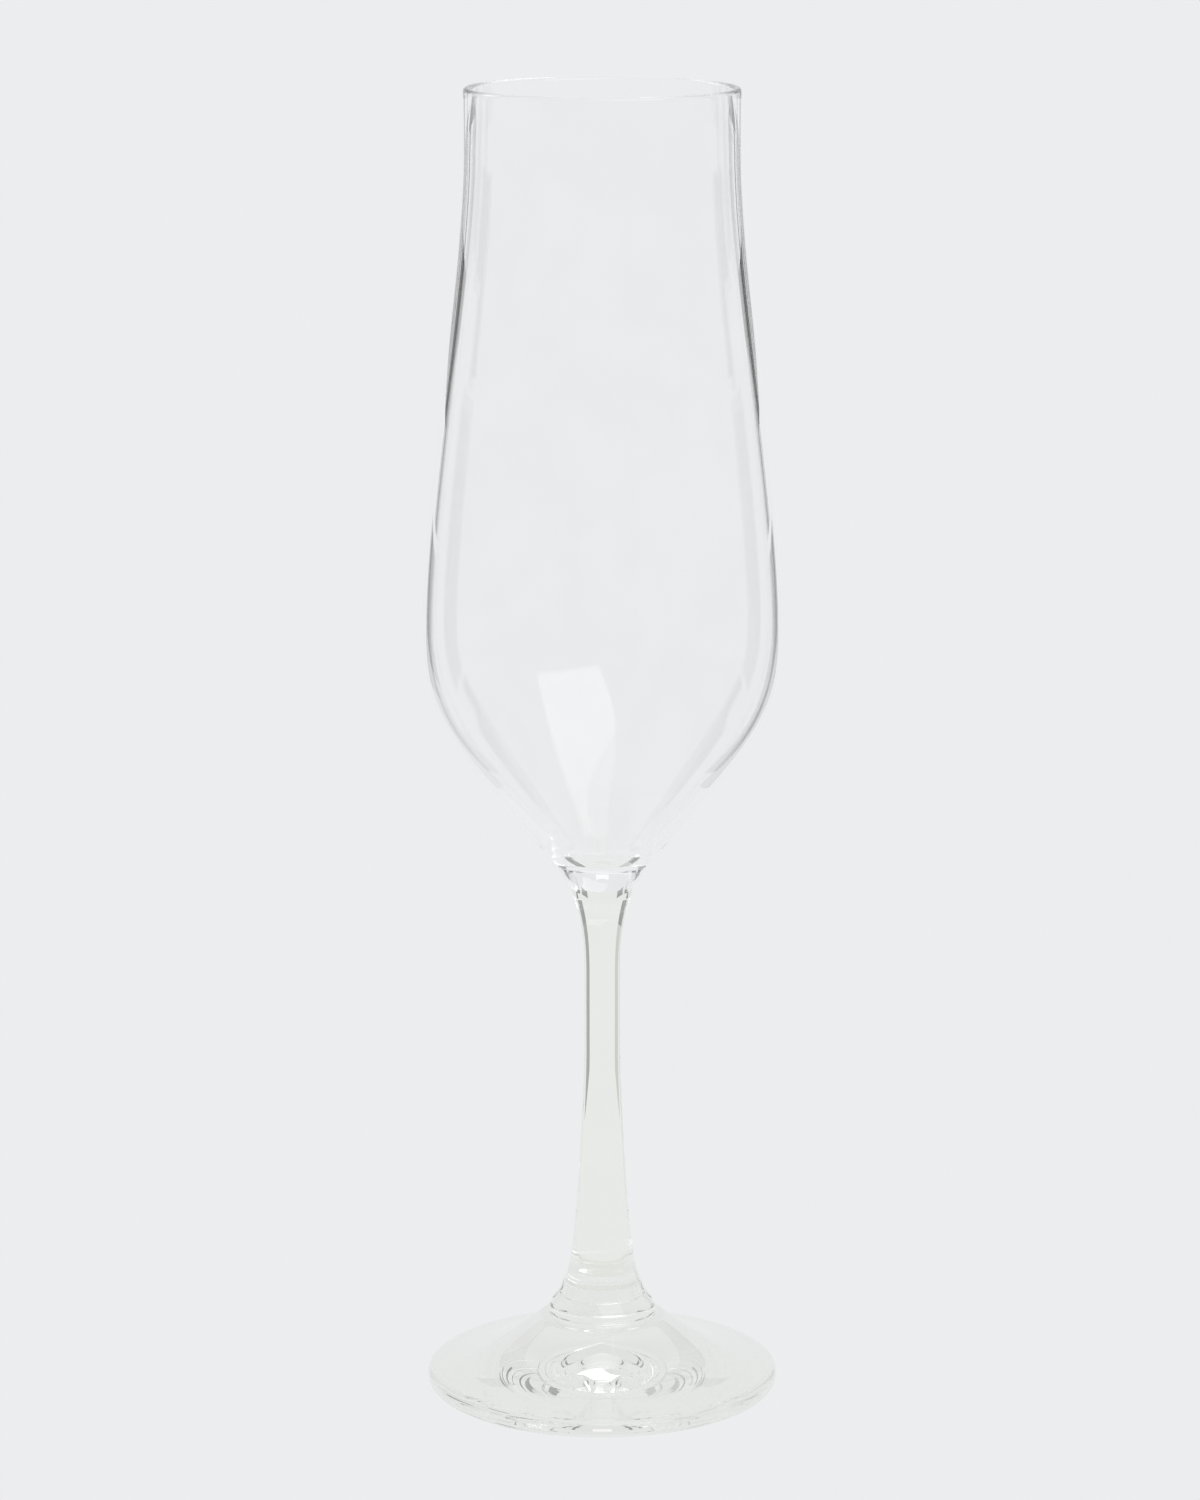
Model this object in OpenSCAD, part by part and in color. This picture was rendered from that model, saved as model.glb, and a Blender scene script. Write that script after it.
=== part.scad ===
// Stemmed champagne flute, standing upright on its foot.
// Units are millimetres. +Z is up and the origin is the centre of the resting ring on the table.
// The glass is turned from three pieces that are fused hot, face to face: bowl, stem and foot.
// Outlines are lists of [radius, height] points, and a lean is an angle from the vertical in degrees.

/* [Overall] */
// Height from the table to the top of the rim
total_h = 250.5; // [240:0.5:262]

/* [Bowl] */
// Outside diameter of the straight lip
rim_d = 51.4; // [48:0.2:56]
// Length of the straight lip below the rim
lip_len = 11.2; // [8:0.2:20]
// Outside diameter at the widest point
belly_d = 67.6; // [64:0.2:72]
// Height of the widest point
belly_z = 148.7; // [145:0.1:154]
// Wall thickness at the rim
rim_wall = 1.5; // [1:0.1:2]
// Wall thickness at the widest point
belly_wall = 1.05; // [0.8:0.05:1.4]
// Height of the bottom of the hollow
well_z = 104.6; // [103.6:0.1:105.2]
// Diameter of the bottom of the hollow
well_d = 13.8; // [12:0.2:14.6]

/* [Stem] */
// Height of the seam between bowl and stem
bowl_seam_z = 99.6; // [98:0.1:101]
// Diameter at the seam between bowl and stem
bowl_seam_d = 13.4; // [12.4:0.2:14.4]
// Diameter at the narrowest part
waist_d = 7; // [6:0.2:8]
// Height of the seam between stem and foot
foot_seam_z = 22; // [20:0.5:24]
// Diameter at the seam between stem and foot
foot_seam_d = 14; // [12:0.2:15]

/* [Foot] */
// Outside diameter of the foot
foot_d = 67.8; // [62:0.2:72]
// Thickness of the foot at its edge
edge_t = 3.7; // [3:0.1:4.4]
// Diameter of the collar where the stem flares into the foot
collar_d = 20.6; // [19:0.2:22]
// Height of the hollow under the middle of the foot
kick_h = 4.5; // [2:0.1:7]

/* [Hidden] */

glass_colour = [0.86, 0.92, 0.9, 0.45];

// Straight steps along each curve, and facets round the axis.
curve_steps = 20;
short_steps = 8;
round_steps = 144;

rim_r = rim_d / 2;
belly_r = belly_d / 2;
well_r = well_d / 2;
bowl_seam_r = bowl_seam_d / 2;
waist_r = waist_d / 2;
foot_seam_r = foot_seam_d / 2;
foot_r = foot_d / 2;
collar_r = collar_d / 2;

// Outside of the bowl: shoulder drop, belly handles, and the button that closes it.
lip_z = total_h - lip_len;
shoulder_pull = 23.2;
belly_pull_up = 24.1;
belly_pull_down = 13.2;
button = [9.9, 105];
button_lean = -42.3;
button_pull = 32;
seam_lean = -26.4;
seam_pull = 0.5;

// Inside of the bowl: the wall thickens from the belly down to the well.
hollow_belly_z = belly_z + 0.5;
hollow_pull_down = 14;
hollow_pull_up = 30.2;
well_edge = [well_r, well_z + 0.9];
well_lean = -45.6;
well_pull = 1.2;
well_flat = 0.45 * well_r;

// Stem: a short neck, a straight waist, and a long taper to the foot.
neck_pull = 7.8;
waist_top = [waist_r, 80.1];
waist_top_pull = 5.4;
waist_low = [waist_r, 66.8];
waist_low_pull = 5;
taper_lean = 30;
taper_pull = 4;

// Foot: a post, a rounded collar, a sloping skirt and a thick rounded edge.
post_lean = 14;
post_end = [foot_seam_r + 1.3, foot_seam_z - 3.6];
post_pull = 1.2;
collar_low = [collar_r, 14.4];
collar_lean = 40;
collar_pull = 1.7;
skirt_top = [collar_r + 1.9, 13.4];
skirt_top_lean = 52;
skirt_edge = [foot_r - 1.8, edge_t];
skirt_edge_lean = 82;
skirt_pull = 7.5;
skirt_edge_pull = 10;
step_pull = 0.8;
edge_high = [foot_r, 0.57 * edge_t];
edge_low = [foot_r, 0.46 * edge_t];
edge_pull = 1;
rest_outer = [foot_r - 1.9, 0];
rest_inner = [foot_r - 4.4, 0];
under_edge_lean = 84;
under_pull = 8;
kick_pull = 2;

// Point at a distance from another one, heading downwards at a lean (positive is outwards).
function ahead(p, lean, distance) = p + distance * [sin(lean), -cos(lean)];

// Cubic curve from a to d, pulled towards b and c, as a list of points.
function curve(a, b, c, d, steps) = [
    for (i = [0 : steps])
        let (t = i / steps)
        pow(1 - t, 3) * a + 3 * pow(1 - t, 2) * t * b + 3 * (1 - t) * t * t * c + pow(t, 3) * d
];

// Rounded top of the rim, from the inside over to the outside.
function rim_round() = [
    for (i = [0 : short_steps])
        let (turn = 180 * (1 - i / short_steps))
        [rim_r - rim_wall / 2, total_h - rim_wall / 2] + rim_wall / 2 * [cos(turn), sin(turn)]
];

// Outside of the bowl, from the rim down to the seam with the stem.
function bowl_outside() = concat(
    curve(
        [rim_r, lip_z],
        [rim_r, lip_z - shoulder_pull],
        [belly_r, belly_z + belly_pull_up],
        [belly_r, belly_z],
        curve_steps
    ),
    curve(
        [belly_r, belly_z],
        [belly_r, belly_z - belly_pull_down],
        ahead(button, button_lean, -button_pull),
        button,
        curve_steps
    ),
    curve(
        button,
        ahead(button, button_lean, seam_pull),
        ahead([bowl_seam_r, bowl_seam_z], seam_lean, -seam_pull),
        [bowl_seam_r, bowl_seam_z],
        short_steps
    )
);

// Inside of the bowl, from the middle of the well up to the rim.
function bowl_inside() = concat(
    curve(
        [0, well_z],
        [well_flat, well_z],
        ahead(well_edge, well_lean, well_pull),
        well_edge,
        short_steps
    ),
    curve(
        well_edge,
        ahead(well_edge, well_lean, -hollow_pull_up),
        [belly_r - belly_wall, hollow_belly_z - hollow_pull_down],
        [belly_r - belly_wall, hollow_belly_z],
        curve_steps
    ),
    curve(
        [belly_r - belly_wall, hollow_belly_z],
        [belly_r - belly_wall, hollow_belly_z + belly_pull_up],
        [rim_r - rim_wall, lip_z - shoulder_pull],
        [rim_r - rim_wall, lip_z],
        curve_steps
    )
);

// Outside of the stem, from the bowl down to the foot.
function stem_outside() = concat(
    curve(
        [bowl_seam_r, bowl_seam_z],
        ahead([bowl_seam_r, bowl_seam_z], seam_lean, neck_pull),
        waist_top + [0, waist_top_pull],
        waist_top,
        curve_steps
    ),
    curve(
        waist_low,
        waist_low - [0, waist_low_pull],
        ahead([foot_seam_r, foot_seam_z], taper_lean, -taper_pull),
        [foot_seam_r, foot_seam_z],
        curve_steps
    )
);

// Top of the foot, from the stem out to the edge.
function foot_top() = concat(
    curve(
        [foot_seam_r, foot_seam_z],
        ahead([foot_seam_r, foot_seam_z], post_lean, post_pull),
        ahead(post_end, post_lean, -post_pull),
        post_end,
        short_steps
    ),
    curve(
        post_end,
        ahead(post_end, collar_lean, collar_pull),
        collar_low + [0, collar_pull],
        collar_low,
        short_steps
    ),
    curve(
        collar_low,
        collar_low - [0, step_pull],
        ahead(skirt_top, skirt_top_lean, -step_pull),
        skirt_top,
        short_steps
    ),
    curve(
        skirt_top,
        ahead(skirt_top, skirt_top_lean, skirt_pull),
        ahead(skirt_edge, skirt_edge_lean, -skirt_edge_pull),
        skirt_edge,
        curve_steps
    )
);

// Rounded edge of the foot, down to the resting ring.
function foot_edge() = concat(
    curve(
        skirt_edge,
        ahead(skirt_edge, skirt_edge_lean, edge_pull),
        edge_high + [0, edge_pull],
        edge_high,
        short_steps
    ),
    curve(
        edge_low,
        edge_low - [0, edge_pull],
        rest_outer + [edge_pull, 0],
        rest_outer,
        short_steps
    )
);

// Hollow underside, from the resting ring in to the axis.
function foot_underside() = curve(
    rest_inner,
    ahead(rest_inner, under_edge_lean, -under_pull),
    [kick_pull, kick_h],
    [0, kick_h],
    curve_steps
);

// Outline without the points that repeat the one before.
function tidy(points) = [
    for (i = [0 : len(points) - 1])
        if (i == 0 || norm(points[i] - points[max(i - 1, 0)]) > 0.001) points[i]
];

// Solid turned about the axis from its outline.
module turned(points) {
    rotate_extrude($fn = round_steps)
        polygon(tidy(points));
}

// Blown bowl with its hollow, and the solid button under it.
module bowl() {
    color(glass_colour)
        turned(concat(bowl_inside(), rim_round(), bowl_outside(), [[0, bowl_seam_z]]));
}

// Solid drawn stem between the two seams.
module stem() {
    color(glass_colour)
        turned(concat([[0, bowl_seam_z]], stem_outside(), [[0, foot_seam_z]]));
}

// Pressed foot with its collar, and the hollow under it.
module foot() {
    color(glass_colour)
        turned(concat([[0, foot_seam_z]], foot_top(), foot_edge(), foot_underside()));
}

bowl();
stem();
foot();
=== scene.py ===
"""Looks of a clear champagne flute: three fused pieces of glass on a pale studio floor.

Places and sizes are in metres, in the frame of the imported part, unless a comment says
millimetres. The glass pieces are turned from the same curves as the CAD solids, much finer,
and stand for them.
"""

import math

import bmesh
import bpy
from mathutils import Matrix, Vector, noise


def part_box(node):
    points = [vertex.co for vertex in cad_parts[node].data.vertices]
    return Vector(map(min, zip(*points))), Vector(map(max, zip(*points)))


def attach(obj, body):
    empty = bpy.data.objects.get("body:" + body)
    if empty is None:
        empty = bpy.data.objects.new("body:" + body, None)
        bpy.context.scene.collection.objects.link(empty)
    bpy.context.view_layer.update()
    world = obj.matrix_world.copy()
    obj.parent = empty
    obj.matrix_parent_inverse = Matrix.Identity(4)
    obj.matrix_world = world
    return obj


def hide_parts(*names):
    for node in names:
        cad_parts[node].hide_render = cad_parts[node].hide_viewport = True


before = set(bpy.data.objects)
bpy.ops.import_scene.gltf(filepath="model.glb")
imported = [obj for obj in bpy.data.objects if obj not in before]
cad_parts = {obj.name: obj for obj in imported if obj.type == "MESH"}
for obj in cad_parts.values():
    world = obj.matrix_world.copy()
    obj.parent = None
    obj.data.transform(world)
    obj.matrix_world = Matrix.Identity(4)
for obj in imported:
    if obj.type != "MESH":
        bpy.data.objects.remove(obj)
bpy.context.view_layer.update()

MM = 0.001

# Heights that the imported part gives.
BOWL_LOW, BOWL_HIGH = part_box("bowl")
TOTAL_H = BOWL_HIGH.z
BOWL_SEAM_Z = BOWL_LOW.z
FOOT_SEAM_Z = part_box("foot")[1].z

# Bowl, from the rim down. A lean is in degrees from the vertical, and positive outwards.
RIM_R = 25.7 * MM
BELLY_R = 33.8 * MM
LIP_Z = TOTAL_H - 11.2 * MM
BELLY_Z = 148.7 * MM
RIM_WALL = 1.5 * MM
BELLY_WALL = 1.05 * MM
SHOULDER_PULL = 23.2 * MM
BELLY_PULL_UP = 24.1 * MM
BELLY_PULL_DOWN = 13.2 * MM
BUTTON = (9.9 * MM, 105 * MM)
BUTTON_LEAN = -42.3
BUTTON_PULL = 32 * MM
BOWL_SEAM_R = 6.7 * MM
SEAM_LEAN = -26.4
SEAM_PULL = 0.5 * MM

# Hollow of the bowl.
WELL_Z = 104.6 * MM
WELL_EDGE = (6.9 * MM, 105.5 * MM)
WELL_LEAN = -45.6
WELL_PULL = 1.2 * MM
WELL_FLAT = 3.105 * MM
HOLLOW_BELLY_Z = BELLY_Z + 0.5 * MM
HOLLOW_PULL_UP = 30.2 * MM
HOLLOW_PULL_DOWN = 14 * MM

# Stem.
NECK_PULL = 7.8 * MM
WAIST_R = 3.5 * MM
WAIST_TOP_Z = 80.1 * MM
WAIST_TOP_PULL = 5.4 * MM
WAIST_LOW_Z = 66.8 * MM
WAIST_LOW_PULL = 5 * MM
FOOT_SEAM_R = 7 * MM
TAPER_LEAN = 30
TAPER_PULL = 4 * MM

# Foot, from the post under the stem out to the edge and back under it.
FOOT_R = 33.9 * MM
EDGE_T = 3.7 * MM
POST_LEAN = 14
POST_END = (FOOT_SEAM_R + 1.3 * MM, FOOT_SEAM_Z - 3.6 * MM)
POST_PULL = 1.2 * MM
COLLAR_LOW = (10.3 * MM, 14.4 * MM)
COLLAR_LEAN = 40
COLLAR_PULL = 1.7 * MM
SKIRT_TOP = (12.2 * MM, 13.4 * MM)
SKIRT_TOP_LEAN = 52
SKIRT_EDGE = (FOOT_R - 1.8 * MM, EDGE_T)
SKIRT_EDGE_LEAN = 82
SKIRT_PULL = 7.5 * MM
SKIRT_EDGE_PULL = 10 * MM
STEP_PULL = 0.8 * MM
EDGE_HIGH = (FOOT_R, 0.57 * EDGE_T)
EDGE_LOW = (FOOT_R, 0.46 * EDGE_T)
EDGE_PULL = 1 * MM
REST_OUTER = (FOOT_R - 1.9 * MM, 0)
REST_INNER = (FOOT_R - 4.4 * MM, 0)
UNDER_EDGE_LEAN = 84
UNDER_PULL = 8 * MM
KICK_PULL = 2 * MM
KICK_H = 4.5 * MM

# Fineness of the turned meshes: sides, and steps along a long and a short curve.
SIDES = 192
CURVE_STEPS = 48
SHORT_STEPS = 12

# How far a piece stops short of a seam, how near two points or a point and the axis count as
# one, and the angle in degrees past which an edge is sharp.
SEAM_GAP = 0.01 * MM
SAME_POINT = 1e-6
ON_AXIS = 1e-7
SHARP_ANGLE = 40

# Waviness of hot-worked glass: how far the surface dips, from crest to crest, and how it
# dies away towards the seams, the table and the axis.
WAVE_DEPTH = 0.03 * MM
WAVE_LENGTH = 24 * MM
WAVE_FADE = 5 * MM
WAVE_SEEDS = {"bowl": 3.7, "stem": 11.2, "foot": 19.6}

# Camera: place, tilt down in degrees, lens and sensor width in millimetres, and shift to
# frame the glass.
CAMERA_DISTANCE = 0.9
CAMERA_HEIGHT = 0.321
CAMERA_TILT = 12.25
LENS = 116.64
SENSOR = 36
CAMERA_SHIFT = -0.0015

# How often light may bounce.
MOST_BOUNCES = 300

# Tones, in linear light.
PALE = (0.839, 0.847, 0.863)
SOFT_WHITE = (1.0, 1.0, 1.0)

# Tint of a piece, as the colour that light keeps after crossing it.
TINTS = {
    "bowl": (0.993, 0.994, 0.99),
    "stem": (0.96, 0.972, 0.92),
    "foot": (0.935, 0.94, 0.905),
}

# Glass. Its veins are a little denser than the tint above and fade out between two noise
# values, and its faint streaks are drawn out up and down.
GLASS_IOR = 1.52
VEIN_SHARE = 0.988
VEIN_RANGE = (0.35, 0.6)
VEIN_SCALE = 45
VEIN_DETAIL = 3
VEIN_DISTORTION = 1.2
STREAK_SCALE = 110
STREAK_DETAIL = 1
STREAK_STRETCH = (1, 1, 0.16)
STREAK_DEPTH = 0.02 * MM
STREAK_STRENGTH = 0.3

# Floor, a hair under the resting ring.
FLOOR_Z = -0.05 * MM
FLOOR_REACH = 12

# Flags at the left and right, behind the glass: name, then near end, far end, bottom and top
# in millimetres, then how light the left and the right one are.
FLAG_X = 105 * MM
FLAGS = (
    ("low", (85, 155, 0, 92), 0.6, 0.36),
    ("belly", (85, 155, 92, 150), 0.28, 0.28),
    ("middle", (85, 112, 155, 178), 0.06, 0.06),
    ("shoulder", (85, 155, 178, 213), 0.1, 0.1),
    ("high", (118, 133, 213, 330), 0.2, 0.2),
    ("lip", (185, 290, 178, 236), 0.3, 0.3),
)

# Bright band of the backdrop, behind and above the glass.
BACK_GLOW_Y = 900 * MM
BACK_GLOW_X = 100 * MM
BACK_GLOW_Z = (560 * MM, 640 * MM)

# Softbox above the camera's right: turn from straight behind and rise in degrees, then
# distance from the belly, size and strength.
SOFTBOX_AIM = (152, 51)
SOFTBOX_DISTANCE = 1.2
SOFTBOX_SIZE = (1.0, 0.86)
SOFTBOX_STRENGTH = 1.8

# Share of the pale tone in the surroundings, by the sine of the height above the horizon. The
# two ends come first.
SKY = ((0.14, 1.0), (1.0, 1.16), (0.5, 0.95), (0.87, 0.94), (0.97, 1.12))


def ahead(point, lean, distance):
    """Point at a distance from another one, heading down at a lean from the vertical."""
    turn = math.radians(lean)
    return (point[0] + distance * math.sin(turn), point[1] - distance * math.cos(turn))


def curve(a, b, c, d, steps):
    """Cubic curve from a to d, pulled towards b and c."""
    points = []
    for i in range(steps + 1):
        t = i / steps
        s = 1 - t
        weights = (s * s * s, 3 * s * s * t, 3 * s * t * t, t * t * t)
        points.append(tuple(sum(w * p[k] for w, p in zip(weights, (a, b, c, d))) for k in (0, 1)))
    return points


def bowl_outline():
    """Section of the bowl: up the inside, over the rim, and down the outside."""
    inner_r = BELLY_R - BELLY_WALL
    seam = (BOWL_SEAM_R, BOWL_SEAM_Z + SEAM_GAP)
    inside = curve((0, WELL_Z), (WELL_FLAT, WELL_Z),
                   ahead(WELL_EDGE, WELL_LEAN, WELL_PULL), WELL_EDGE, SHORT_STEPS)
    inside += curve(WELL_EDGE, ahead(WELL_EDGE, WELL_LEAN, -HOLLOW_PULL_UP),
                    (inner_r, HOLLOW_BELLY_Z - HOLLOW_PULL_DOWN),
                    (inner_r, HOLLOW_BELLY_Z), CURVE_STEPS)
    inside += curve((inner_r, HOLLOW_BELLY_Z), (inner_r, HOLLOW_BELLY_Z + BELLY_PULL_UP),
                    (RIM_R - RIM_WALL, LIP_Z - SHOULDER_PULL), (RIM_R - RIM_WALL, LIP_Z),
                    CURVE_STEPS)
    rim = []
    for i in range(SHORT_STEPS + 1):
        turn = math.pi * (1 - i / SHORT_STEPS)
        rim.append((RIM_R - RIM_WALL / 2 + RIM_WALL / 2 * math.cos(turn),
                    TOTAL_H - RIM_WALL / 2 + RIM_WALL / 2 * math.sin(turn)))
    outside = curve((RIM_R, LIP_Z), (RIM_R, LIP_Z - SHOULDER_PULL),
                    (BELLY_R, BELLY_Z + BELLY_PULL_UP), (BELLY_R, BELLY_Z), CURVE_STEPS)
    outside += curve((BELLY_R, BELLY_Z), (BELLY_R, BELLY_Z - BELLY_PULL_DOWN),
                     ahead(BUTTON, BUTTON_LEAN, -BUTTON_PULL), BUTTON, CURVE_STEPS)
    outside += curve(BUTTON, ahead(BUTTON, BUTTON_LEAN, SEAM_PULL),
                     ahead(seam, SEAM_LEAN, -SEAM_PULL), seam, SHORT_STEPS)
    return inside + rim + outside + [(0, seam[1])]


def stem_outline():
    """Section of the stem, from the bowl's seam down to the foot's."""
    top = (BOWL_SEAM_R, BOWL_SEAM_Z - SEAM_GAP)
    low = (FOOT_SEAM_R, FOOT_SEAM_Z + SEAM_GAP)
    waist_top = (WAIST_R, WAIST_TOP_Z)
    waist_low = (WAIST_R, WAIST_LOW_Z)
    outside = curve(top, ahead(top, SEAM_LEAN, NECK_PULL),
                    (WAIST_R, WAIST_TOP_Z + WAIST_TOP_PULL), waist_top, CURVE_STEPS)
    outside += curve(waist_low, (WAIST_R, WAIST_LOW_Z - WAIST_LOW_PULL),
                     ahead(low, TAPER_LEAN, -TAPER_PULL), low, CURVE_STEPS)
    return [(0, top[1])] + outside + [(0, low[1])]


def foot_outline():
    """Section of the foot: down its top, round the edge, and back under it to the axis."""
    top = (FOOT_SEAM_R, FOOT_SEAM_Z - SEAM_GAP)
    points = [(0, top[1])]
    points += curve(top, ahead(top, POST_LEAN, POST_PULL),
                    ahead(POST_END, POST_LEAN, -POST_PULL), POST_END, SHORT_STEPS)
    points += curve(POST_END, ahead(POST_END, COLLAR_LEAN, COLLAR_PULL),
                    (COLLAR_LOW[0], COLLAR_LOW[1] + COLLAR_PULL), COLLAR_LOW, SHORT_STEPS)
    points += curve(COLLAR_LOW, (COLLAR_LOW[0], COLLAR_LOW[1] - STEP_PULL),
                    ahead(SKIRT_TOP, SKIRT_TOP_LEAN, -STEP_PULL), SKIRT_TOP, SHORT_STEPS)
    points += curve(SKIRT_TOP, ahead(SKIRT_TOP, SKIRT_TOP_LEAN, SKIRT_PULL),
                    ahead(SKIRT_EDGE, SKIRT_EDGE_LEAN, -SKIRT_EDGE_PULL), SKIRT_EDGE,
                    CURVE_STEPS)
    points += curve(SKIRT_EDGE, ahead(SKIRT_EDGE, SKIRT_EDGE_LEAN, EDGE_PULL),
                    (FOOT_R, EDGE_HIGH[1] + EDGE_PULL), EDGE_HIGH, SHORT_STEPS)
    points += curve(EDGE_LOW, (FOOT_R, EDGE_LOW[1] - EDGE_PULL),
                    (REST_OUTER[0] + EDGE_PULL, 0), REST_OUTER, SHORT_STEPS)
    points += curve(REST_INNER, ahead(REST_INNER, UNDER_EDGE_LEAN, -UNDER_PULL),
                    (KICK_PULL, KICK_H), (0, KICK_H), CURVE_STEPS)
    return points


def dip(r, z, turn, seed):
    """How far the wavy surface lies inside the plain turned one."""
    away = min(abs(z - BOWL_SEAM_Z), abs(z - FOOT_SEAM_Z), z, r)
    place = Vector((r * math.cos(turn), r * math.sin(turn), z)) / WAVE_LENGTH
    wave = 0.5 + 0.5 * noise.noise(place + Vector((seed, seed, seed)))
    return WAVE_DEPTH * min(1, max(0, away) / WAVE_FADE) * wave


def turned(name, outline, surface, seam, is_seam, seed):
    """Closed mesh turned about the axis from an outline that starts and ends on it.

    A band of faces whose two outline points satisfy is_seam gets the seam's material.
    """
    points = []
    for point in outline:
        if not points or math.dist(point, points[-1]) > SAME_POINT:
            points.append(point)
    mesh = bmesh.new()
    rings = []
    for r, z in points:
        if r < ON_AXIS:
            rings.append([mesh.verts.new((0, 0, z))])
            continue
        ring = []
        for k in range(SIDES):
            turn = 2 * math.pi * k / SIDES
            reach = r - dip(r, z, turn, seed)
            ring.append(mesh.verts.new((reach * math.cos(turn), reach * math.sin(turn), z)))
        rings.append(ring)
    for (low, high), (start, end) in zip(zip(rings, rings[1:]), zip(points, points[1:])):
        for k in range(SIDES):
            after = (k + 1) % SIDES
            corners = [low[k % len(low)], high[k % len(high)],
                       high[after % len(high)], low[after % len(low)]]
            face = mesh.faces.new(list(dict.fromkeys(corners)))
            face.smooth = True
            face.material_index = 1 if is_seam(start, end) else 0
    bmesh.ops.recalc_face_normals(mesh, faces=mesh.faces)
    data = bpy.data.meshes.new(name)
    mesh.to_mesh(data)
    mesh.free()
    data.materials.append(surface)
    data.materials.append(seam)
    data.set_sharp_from_angle(angle=math.radians(SHARP_ANGLE))
    piece = bpy.data.objects.new(name, data)
    bpy.context.scene.collection.objects.link(piece)
    return piece


def new_material(name):
    """Empty node material with its output."""
    material = bpy.data.materials.new(name)
    material.use_nodes = True
    nodes = material.node_tree.nodes
    nodes.clear()
    return material, nodes, material.node_tree.links, nodes.new("ShaderNodeOutputMaterial")


def clear_glass(name, tint):
    """Clear soda-lime glass: veins of slightly denser tint, and faint streaks up and down."""
    material, nodes, links, output = new_material(name)
    place = nodes.new("ShaderNodeTexCoord")
    veins = nodes.new("ShaderNodeTexNoise")
    veins.inputs["Scale"].default_value = VEIN_SCALE
    veins.inputs["Detail"].default_value = VEIN_DETAIL
    veins.inputs["Distortion"].default_value = VEIN_DISTORTION
    melt = nodes.new("ShaderNodeValToRGB")
    for stop, share, place_on_ramp in zip(melt.color_ramp.elements, (VEIN_SHARE, 1), VEIN_RANGE):
        stop.color = (*(share * tone for tone in tint), 1)
        stop.position = place_on_ramp
    stretch = nodes.new("ShaderNodeMapping")
    stretch.inputs["Scale"].default_value = STREAK_STRETCH
    streaks = nodes.new("ShaderNodeTexNoise")
    streaks.inputs["Scale"].default_value = STREAK_SCALE
    streaks.inputs["Detail"].default_value = STREAK_DETAIL
    relief = nodes.new("ShaderNodeBump")
    relief.inputs["Strength"].default_value = STREAK_STRENGTH
    relief.inputs["Distance"].default_value = STREAK_DEPTH
    glass = nodes.new("ShaderNodeBsdfPrincipled")
    links.new(place.outputs["Object"], veins.inputs["Vector"])
    links.new(veins.outputs["Fac"], melt.inputs["Fac"])
    links.new(melt.outputs["Color"], glass.inputs["Base Color"])
    links.new(place.outputs["Object"], stretch.inputs["Vector"])
    links.new(stretch.outputs["Vector"], streaks.inputs["Vector"])
    links.new(streaks.outputs["Fac"], relief.inputs["Height"])
    links.new(relief.outputs["Normal"], glass.inputs["Normal"])
    glass.inputs["Roughness"].default_value = 0
    glass.inputs["IOR"].default_value = GLASS_IOR
    glass.inputs["Transmission Weight"].default_value = 1
    links.new(glass.outputs[0], output.inputs["Surface"])
    return material


def fused_seam():
    """Glass fused to glass: light passes straight through."""
    material, nodes, links, output = new_material("fused_seam")
    through = nodes.new("ShaderNodeBsdfTransparent")
    links.new(through.outputs[0], output.inputs["Surface"])
    return material


def glow(name, tone, strength):
    """Even light of one tone."""
    material, nodes, links, output = new_material(name)
    light = nodes.new("ShaderNodeEmission")
    light.inputs["Color"].default_value = (*tone, 1)
    light.inputs["Strength"].default_value = strength
    links.new(light.outputs[0], output.inputs["Surface"])
    return material


def panel(name, corners, material):
    """Flat four-cornered board."""
    data = bpy.data.meshes.new(name)
    data.from_pydata(corners, [], [(0, 1, 2, 3)])
    data.materials.append(material)
    board = bpy.data.objects.new(name, data)
    bpy.context.scene.collection.objects.link(board)
    return board


def build_glass():
    """The three pieces, in place of their CAD solids, with see-through faces at the seams."""
    seam = fused_seam()
    caps = {
        "bowl": lambda a, b: a[1] == b[1] == BOWL_SEAM_Z + SEAM_GAP,
        "stem": lambda a, b: a[1] == b[1],
        "foot": lambda a, b: a[1] == b[1] == FOOT_SEAM_Z - SEAM_GAP,
    }
    outlines = {"bowl": bowl_outline(), "stem": stem_outline(), "foot": foot_outline()}
    for node, outline in outlines.items():
        surface = clear_glass(node + "_clear_glass", TINTS[node])
        piece = turned(node + "_glass", outline, surface, seam, caps[node], WAVE_SEEDS[node])
        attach(piece, "root")
        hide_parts(node)


def rig_panel(name, corners, tone, strength):
    """Board or softbox that stands still and is seen only through and in the glass."""
    board = panel(name, corners, glow(name + "_tone", tone, strength))
    board.visible_camera = False
    board.visible_diffuse = False
    board.visible_shadow = False


def build_stage():
    """Pale floor, evenly bright."""
    reach = FLOOR_REACH
    panel("floor", [(-reach, -reach, FLOOR_Z), (reach, -reach, FLOOR_Z), (reach, reach, FLOOR_Z),
                    (-reach, reach, FLOOR_Z)], glow("floor_pale", PALE, 1))


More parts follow.
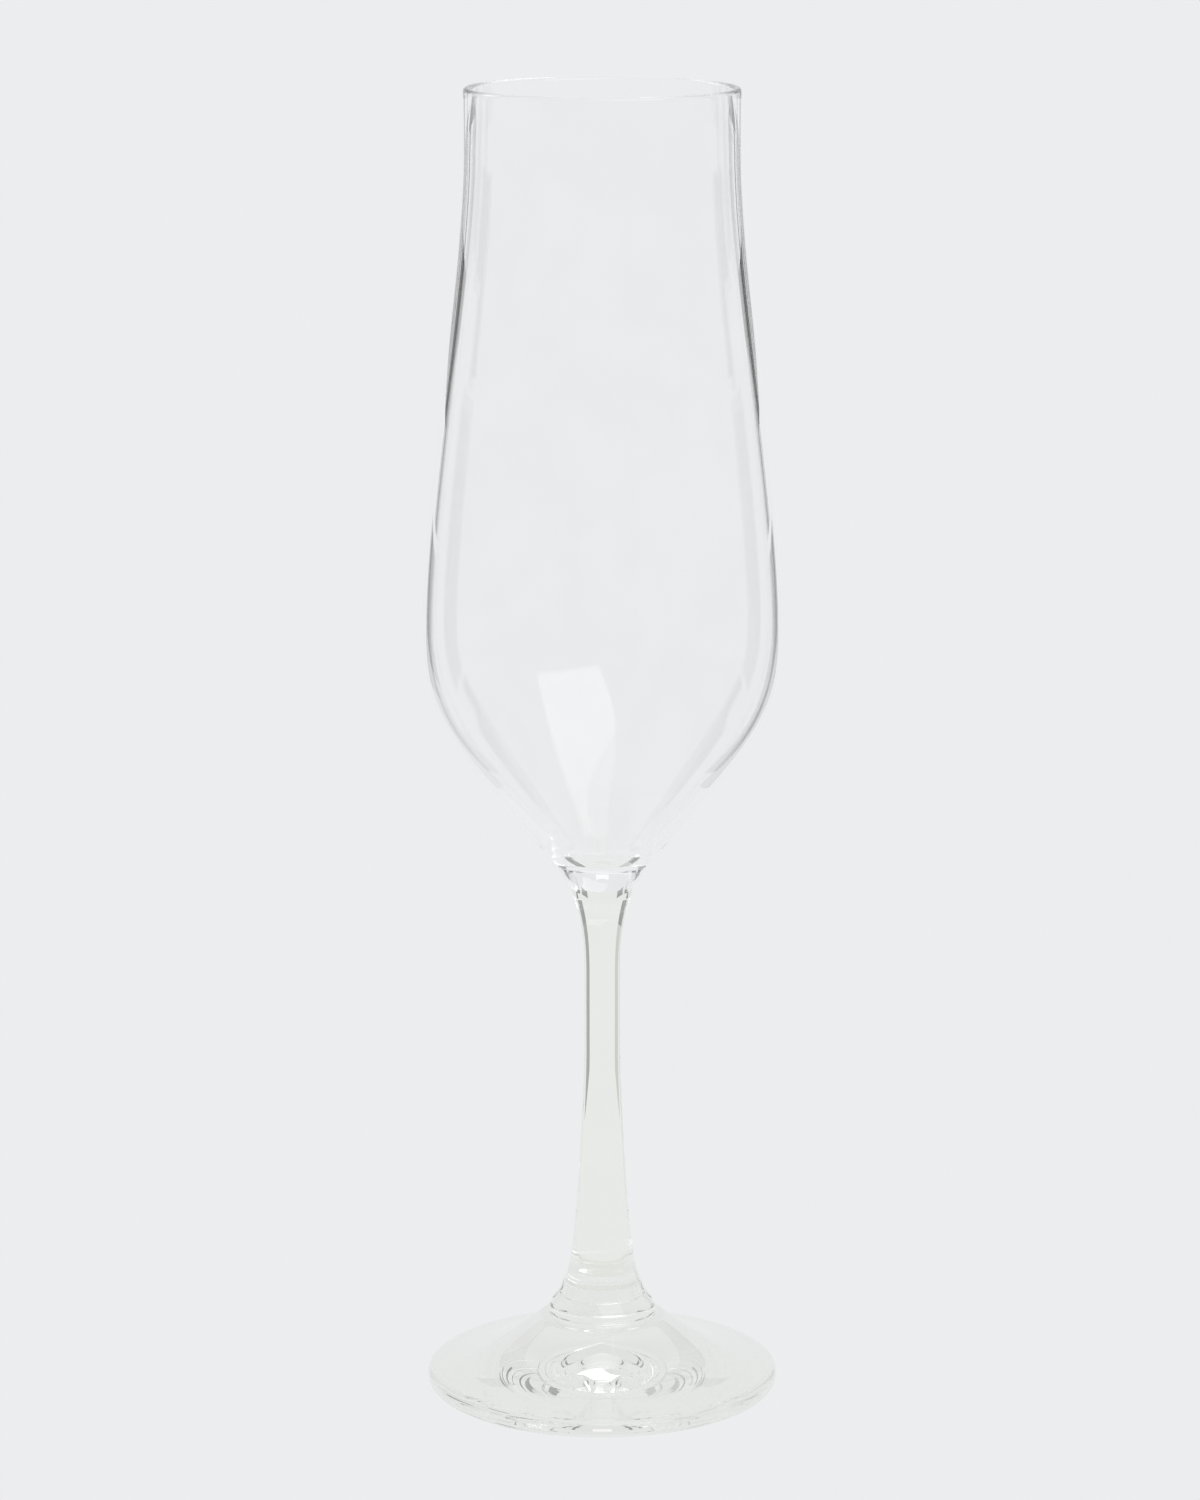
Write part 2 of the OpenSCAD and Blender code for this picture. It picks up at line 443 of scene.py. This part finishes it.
def build_rig():
    """Grey flags at the left and right, a bright strip behind and a softbox above."""
    for part, ends, left_tone, right_tone in FLAGS:
        near, far, low, high = (end * MM for end in ends)
        for side, x, tone in (("left", -FLAG_X, left_tone), ("right", FLAG_X, right_tone)):
            rig_panel("flag_" + part + "_" + side,
                      [(x, near, low), (x, far, low), (x, far, high), (x, near, high)],
                      (tone, tone, tone), 1)
    low, high = BACK_GLOW_Z
    rig_panel("back_glow",
              [(-BACK_GLOW_X, BACK_GLOW_Y, low), (BACK_GLOW_X, BACK_GLOW_Y, low),
               (BACK_GLOW_X, BACK_GLOW_Y, high), (-BACK_GLOW_X, BACK_GLOW_Y, high)],
              SOFT_WHITE, 1)
    turn, rise = (math.radians(a) for a in SOFTBOX_AIM)
    out = Vector((math.sin(turn) * math.cos(rise), math.cos(turn) * math.cos(rise), math.sin(rise)))
    across = out.cross(Vector((0, 0, 1))).normalized()
    up = across.cross(out)
    middle = Vector((0, 0, BELLY_Z)) + out * SOFTBOX_DISTANCE
    half_width, half_height = (size / 2 for size in SOFTBOX_SIZE)
    corners = [tuple(middle + across * i * half_width + up * j * half_height)
               for i, j in ((-1, -1), (1, -1), (1, 1), (-1, 1))]
    rig_panel("softbox", corners, SOFT_WHITE, SOFTBOX_STRENGTH)


def build_light():
    """Surroundings that are pale, a little dimmer high up, and brightest straight overhead."""
    world = bpy.data.worlds.new("studio")
    world.use_nodes = True
    nodes, links = world.node_tree.nodes, world.node_tree.links
    place = nodes.new("ShaderNodeTexCoord")
    split = nodes.new("ShaderNodeSeparateXYZ")
    ramp = nodes.new("ShaderNodeValToRGB")
    links.new(place.outputs["Generated"], split.inputs[0])
    links.new(split.outputs["Z"], ramp.inputs["Fac"])
    links.new(ramp.outputs["Color"], nodes["Background"].inputs["Color"])
    stops = ramp.color_ramp.elements
    for i, (height, share) in enumerate(SKY):
        stop = stops[i] if i < 2 else stops.new(height)
        stop.position = height
        stop.color = (*(share * tone for tone in PALE), 1)
    bpy.context.scene.world = world


def build_camera():
    """Camera in front of the glass and a little above its rim."""
    data = bpy.data.cameras.new("camera")
    data.lens = LENS
    data.sensor_width = SENSOR
    data.shift_x = CAMERA_SHIFT
    camera = bpy.data.objects.new("camera", data)
    camera.location = (0, -CAMERA_DISTANCE, CAMERA_HEIGHT)
    camera.rotation_euler = (math.radians(90 - CAMERA_TILT), 0, 0)
    bpy.context.scene.collection.objects.link(camera)
    bpy.context.scene.camera = camera


build_camera()
build_rig()
build_stage()
build_light()
build_glass()
bpy.context.scene.view_settings.view_transform = "Standard"
# Light bounces many times between the faces of thick glass.
bpy.context.scene.cycles.max_bounces = MOST_BOUNCES
bpy.context.scene.cycles.glossy_bounces = MOST_BOUNCES
bpy.context.scene.cycles.transmission_bounces = MOST_BOUNCES
